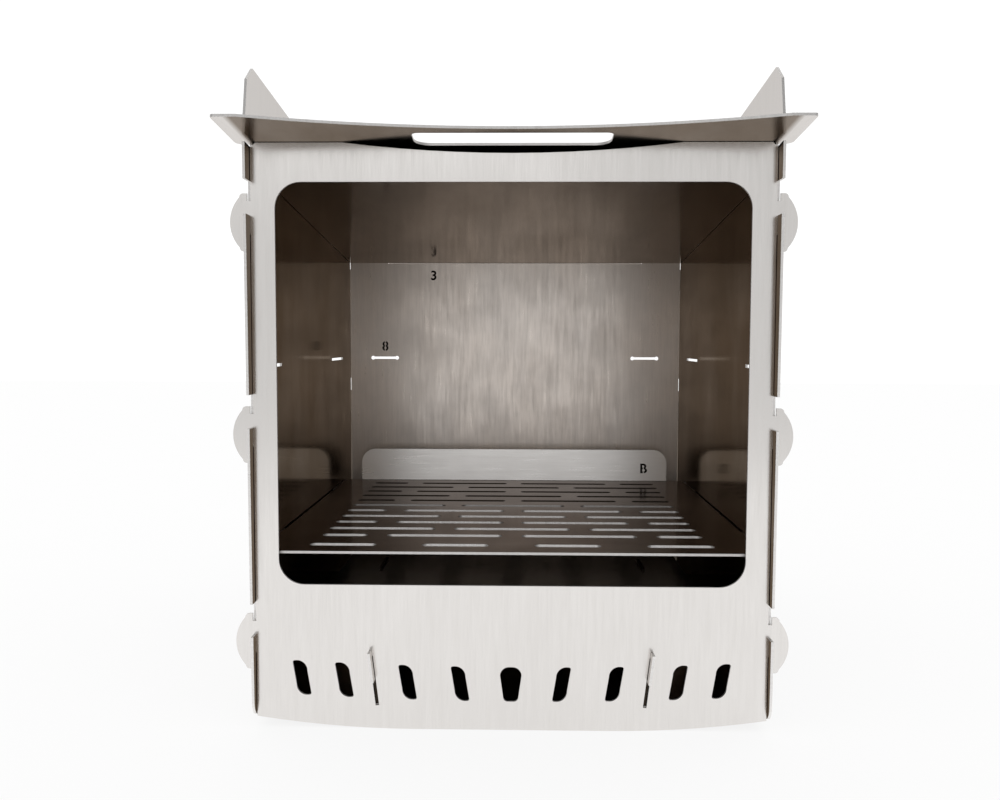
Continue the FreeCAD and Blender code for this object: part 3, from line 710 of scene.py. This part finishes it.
def floor_paint():
    """A pale floor that takes the shadow and shows nearly white to the camera and in the steel, where
    it dims far from the oven."""
    stage = bpy.context.scene.oven_stage
    material, tree = new_material("studio_floor")
    coords = add(tree, "ShaderNodeTexCoord")
    grains = noise(tree, coords.outputs["Object"], [FLOOR_GRAIN for _ in AXES], FLOOR_SHIFT)
    tone = blend(tree, spread(tree, grains, EVEN_SPAN, 0.0, 1.0), stage.floor_pale,
                 scaled(stage.floor_pale, FLOOR_DARK))
    rays = add(tree, "ShaderNodeLightPath").outputs
    seen = sums(tree, "MAXIMUM", rays["Is Camera Ray"], rays["Is Glossy Ray"])
    seen = sums(tree, "MAXIMUM", seen, rays["Is Transmission Ray"])
    away = add(tree, "ShaderNodeVectorMath", operation="LENGTH")
    fall = spread(tree, away.outputs["Value"], FLOOR_FALL, 1.0, stage.far_floor)
    paint = add(tree, "ShaderNodeBsdfDiffuse")
    white = add(tree, "ShaderNodeEmission", in_Color=WHITE)
    mixed = add(tree, "ShaderNodeMixShader")
    output = add(tree, "ShaderNodeOutputMaterial")
    join(tree, (coords.outputs["Object"], away.inputs[0]), (tone, paint.inputs["Color"]),
         (sums(tree, "MAXIMUM", rays["Is Camera Ray"], fall), white.inputs["Strength"]),
         (sums(tree, "MULTIPLY", seen, stage.glow), mixed.inputs[0]),
         (paint.outputs[0], mixed.inputs[1]), (white.outputs[0], mixed.inputs[2]),
         (mixed.outputs[0], output.inputs["Surface"]))
    return material


def light_room():
    """White all round for the camera, dimmer in the steel at the sides and the front, and even light
    for the rest."""
    stage = bpy.context.scene.oven_stage
    world = bpy.data.worlds.new("studio_room")
    bpy.context.scene.world = world
    world.use_nodes = True
    tree = world.node_tree
    tree.nodes.clear()
    way = split(tree, add(tree, "ShaderNodeTexCoord").outputs["Generated"])
    near = spread(tree, way["Y"], SOFTBOX_SPAN, stage.softbox, stage.corners)
    behind = spread(tree, way["Y"], BEHIND_SPAN, 0.0, stage.behind)
    sideways = sums(tree, "ABSOLUTE", way["X"], 0.0)
    across = spread(tree, sideways, ACROSS_SPAN, 1.0, stage.across)
    mirrored = sums(tree, "MULTIPLY", sums(tree, "MAXIMUM", near, behind), across)
    rays = add(tree, "ShaderNodeLightPath").outputs
    shine = sums(tree, "MAXIMUM", rays["Is Glossy Ray"], rays["Is Transmission Ray"])
    level = choose(tree, shine, stage.room, mirrored)
    strength = sums(tree, "MAXIMUM", level, rays["Is Camera Ray"])
    room = add(tree, "ShaderNodeBackground", in_Color=WHITE)
    output = add(tree, "ShaderNodeOutputWorld")
    join(tree, (strength, room.inputs["Strength"]), (room.outputs[0], output.inputs["Surface"]))


class OVEN_OT_stage(bpy.types.Operator):
    """The floor, the light and the camera"""
    bl_idname = "oven.stage"
    bl_label = "Stage"

    def execute(self, context):
        stage = context.scene.oven_stage
        deselect()
        bpy.ops.mesh.primitive_grid_add(
            x_subdivisions=FLOOR_SQUARES, y_subdivisions=FLOOR_SQUARES, size=stage.floor_wide)
        floor = context.object
        floor.name = "studio_floor"
        floor.data.materials.append(floor_paint())
        light_room()
        bpy.ops.object.light_add(type="AREA", location=stage.key_spot)
        key = context.object
        key.name = "key_light"
        key.data.shape = "RECTANGLE"
        key.data.size = stage.key_wide
        key.data.size_y = stage.key_tall
        key.data.energy = stage.key_power
        key.rotation_euler = (stage.key_up, 0.0, stage.key_left)
        bpy.ops.object.camera_add(location=(0.0, 0.0, 0.0))
        camera = context.object
        camera.name = "photo_camera"
        camera.data.sensor_width = SENSOR
        camera.data.lens = stage.lens
        level = math.pi / 2.0
        turn = Matrix.Rotation(stage.left, 4, "Z") @ Matrix.Rotation(level - stage.down, 4, "X")
        lean = Matrix.Rotation(stage.roll, 4, "Z")
        camera.matrix_world = Matrix.Translation(stage.spot) @ turn @ lean
        context.scene.camera = camera
        context.scene.view_settings.view_transform = "Standard"
        return {"FINISHED"}


class OVEN_PT_sidebar(bpy.types.Panel):
    """Lists the pieces of the oven"""
    bl_idname = "OVEN_PT_sidebar"
    bl_label = "Camping oven"
    bl_space_type = "VIEW_3D"
    bl_region_type = "UI"
    bl_category = "Oven"

    def draw(self, context):
        for kind in OPERATORS:
            self.layout.operator(kind.bl_idname)
        for group in (context.scene.oven_steel, context.scene.oven_marks, context.scene.oven_stage):
            column = self.layout.column(align=True)
            for entry in group.bl_rna.properties:
                if entry.identifier not in ("rna_type", "name"):
                    column.prop(group, entry.identifier)


SETTINGS = (OvenSteelSettings, OvenMarkSettings, OvenStageSettings)
OPERATORS = (
    OVEN_OT_front_panel, OVEN_OT_back_panel, OVEN_OT_side_panels, OVEN_OT_roof_plate,
    OVEN_OT_ceiling_plate, OVEN_OT_baking_shelf, OVEN_OT_fire_box, OVEN_OT_marks, OVEN_OT_stage,
)


def register():
    for kind in SETTINGS + OPERATORS + (OVEN_PT_sidebar,):
        bpy.utils.register_class(kind)
    bpy.types.Scene.oven_steel = bpy.props.PointerProperty(type=OvenSteelSettings)
    bpy.types.Scene.oven_marks = bpy.props.PointerProperty(type=OvenMarkSettings)
    bpy.types.Scene.oven_stage = bpy.props.PointerProperty(type=OvenStageSettings)


def unregister():
    del bpy.types.Scene.oven_steel
    del bpy.types.Scene.oven_marks
    del bpy.types.Scene.oven_stage
    for kind in reversed(SETTINGS + OPERATORS + (OVEN_PT_sidebar,)):
        bpy.utils.unregister_class(kind)


def main():
    register()
    bpy.ops.oven.front_panel()
    bpy.ops.oven.back_panel()
    bpy.ops.oven.side_panels()
    bpy.ops.oven.roof_plate()
    bpy.ops.oven.ceiling_plate()
    bpy.ops.oven.baking_shelf()
    bpy.ops.oven.fire_box()
    bpy.ops.oven.marks()
    bpy.ops.oven.stage()


if __name__ == "__main__":
    main()
